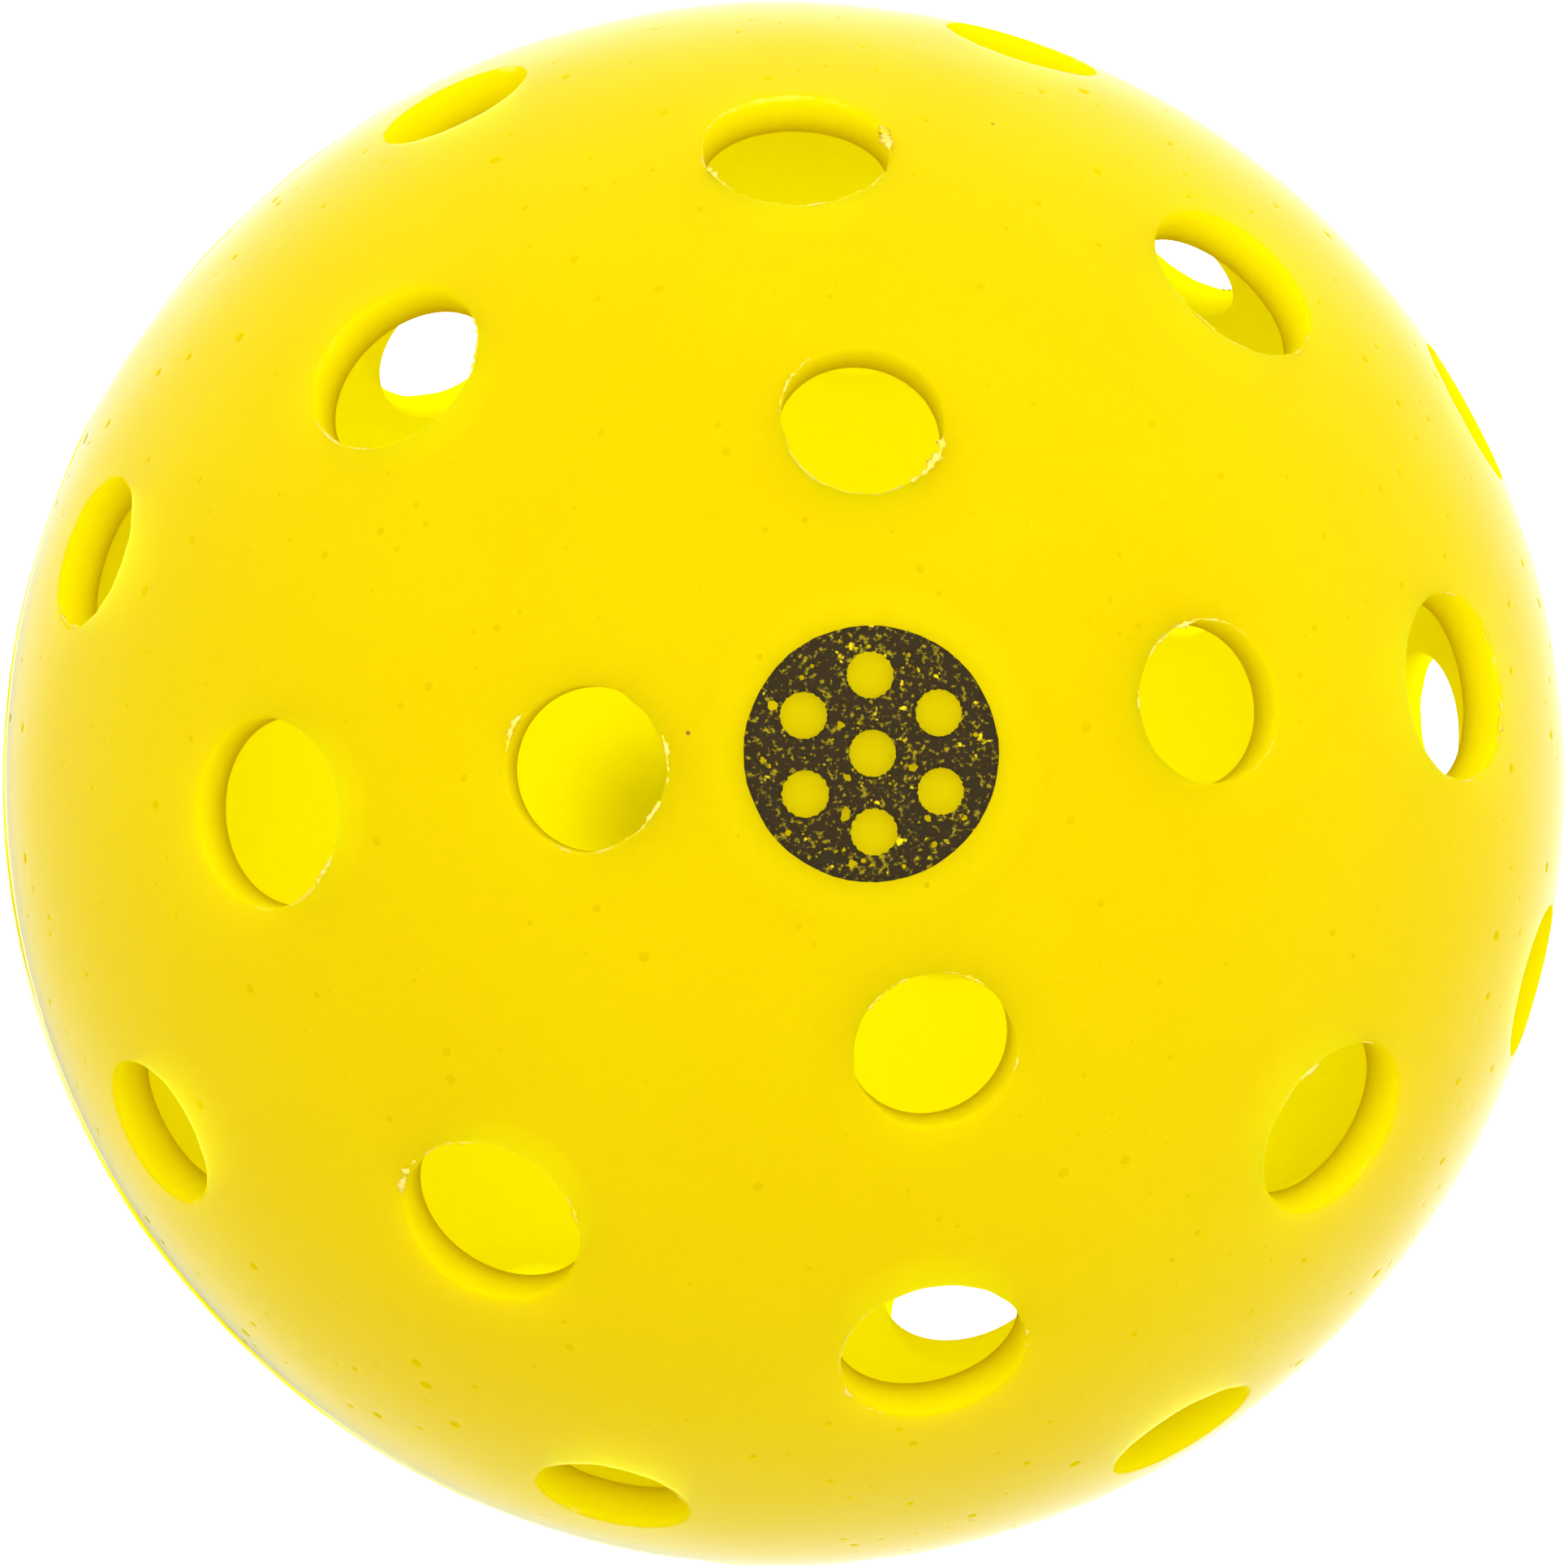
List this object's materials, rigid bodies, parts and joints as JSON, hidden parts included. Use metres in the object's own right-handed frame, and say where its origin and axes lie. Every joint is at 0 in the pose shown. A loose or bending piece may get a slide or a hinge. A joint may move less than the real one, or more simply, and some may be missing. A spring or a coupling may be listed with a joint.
{
  "type": "pickleball ball",
  "caption": "Hollow perforated plastic ball for racket sports: two welded half shells with round holes and a small printed mark.",
  "frame": {"origin": "centre of the ball", "axes": "+Z through the printed pole of the upper half, the weld in the XY plane, +X through a hole of the upper half's first ring and one of its second ring"},
  "size_m": [0.074, 0.074, 0.0743],
  "materials": {
    "shell_yellow": "semi-matt moulded polyethylene, slightly translucent, with fine pits",
    "weld_yellow": "melted and set polyethylene, slightly translucent",
    "mark_ink": "thin pad-printed dark brown ink, speckled where it misses the surface"
  },
  "bodies": {
    "root": {"upper_half": "shell_yellow", "lower_half": "shell_yellow", "weld_bead": "weld_yellow", "printed_mark": "mark_ink"}
  },
  "joints": []
}
